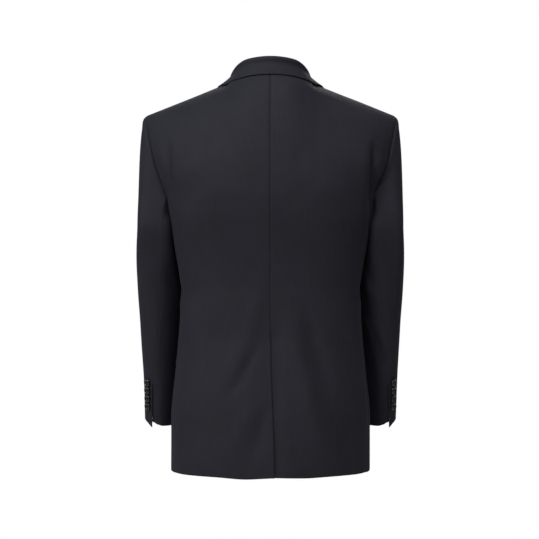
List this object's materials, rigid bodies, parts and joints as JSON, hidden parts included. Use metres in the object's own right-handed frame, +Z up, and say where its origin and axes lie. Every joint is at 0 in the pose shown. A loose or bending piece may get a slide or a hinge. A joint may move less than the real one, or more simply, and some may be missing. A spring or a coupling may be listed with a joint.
{
  "type": "suit jacket with waistcoat",
  "caption": "Navy single-breasted suit jacket, worn over its waistcoat and hollow, with notch lapels, flap pockets, a centre vent and buttoned cuffs.",
  "frame": {"origin": "midway between the two side neck points, where the wearer's neck and shoulders hold the garment", "axes": "+X towards the wearer's left, -Y to the front, +Z up"},
  "size_m": [0.48, 0.2702, 0.7356],
  "materials": {
    "navy_wool": "smooth worsted wool, matt with a faint sheen",
    "dark_button": "semi-polished dark horn effect",
    "lining": "smooth satin lining"
  },
  "bodies": {
    "root": {"back_left": "navy_wool", "back_right": "navy_wool", "side_left": "navy_wool", "side_right": "navy_wool", "front_left": "navy_wool", "front_right": "navy_wool", "lapel_left": "navy_wool", "lapel_right": "navy_wool", "collar": "navy_wool", "top_sleeve_left": "navy_wool", "top_sleeve_right": "navy_wool", "under_sleeve_left": "navy_wool", "under_sleeve_right": "navy_wool", "pocket_flap_left": "navy_wool", "pocket_flap_right": "navy_wool", "breast_welt": "navy_wool", "vest_back": "navy_wool", "vest_front_left": "navy_wool", "vest_front_right": "navy_wool", "front_button_1": "dark_button", "front_button_2": "dark_button", "cuff_button_left_1": "dark_button", "cuff_button_left_2": "dark_button", "cuff_button_left_3": "dark_button", "cuff_button_left_4": "dark_button", "cuff_button_right_1": "dark_button", "cuff_button_right_2": "dark_button", "cuff_button_right_3": "dark_button", "cuff_button_right_4": "dark_button", "vest_button_1": "dark_button", "vest_button_2": "dark_button", "vest_button_3": "dark_button", "vest_button_4": "dark_button", "vest_button_5": "dark_button"}
  },
  "joints": []
}
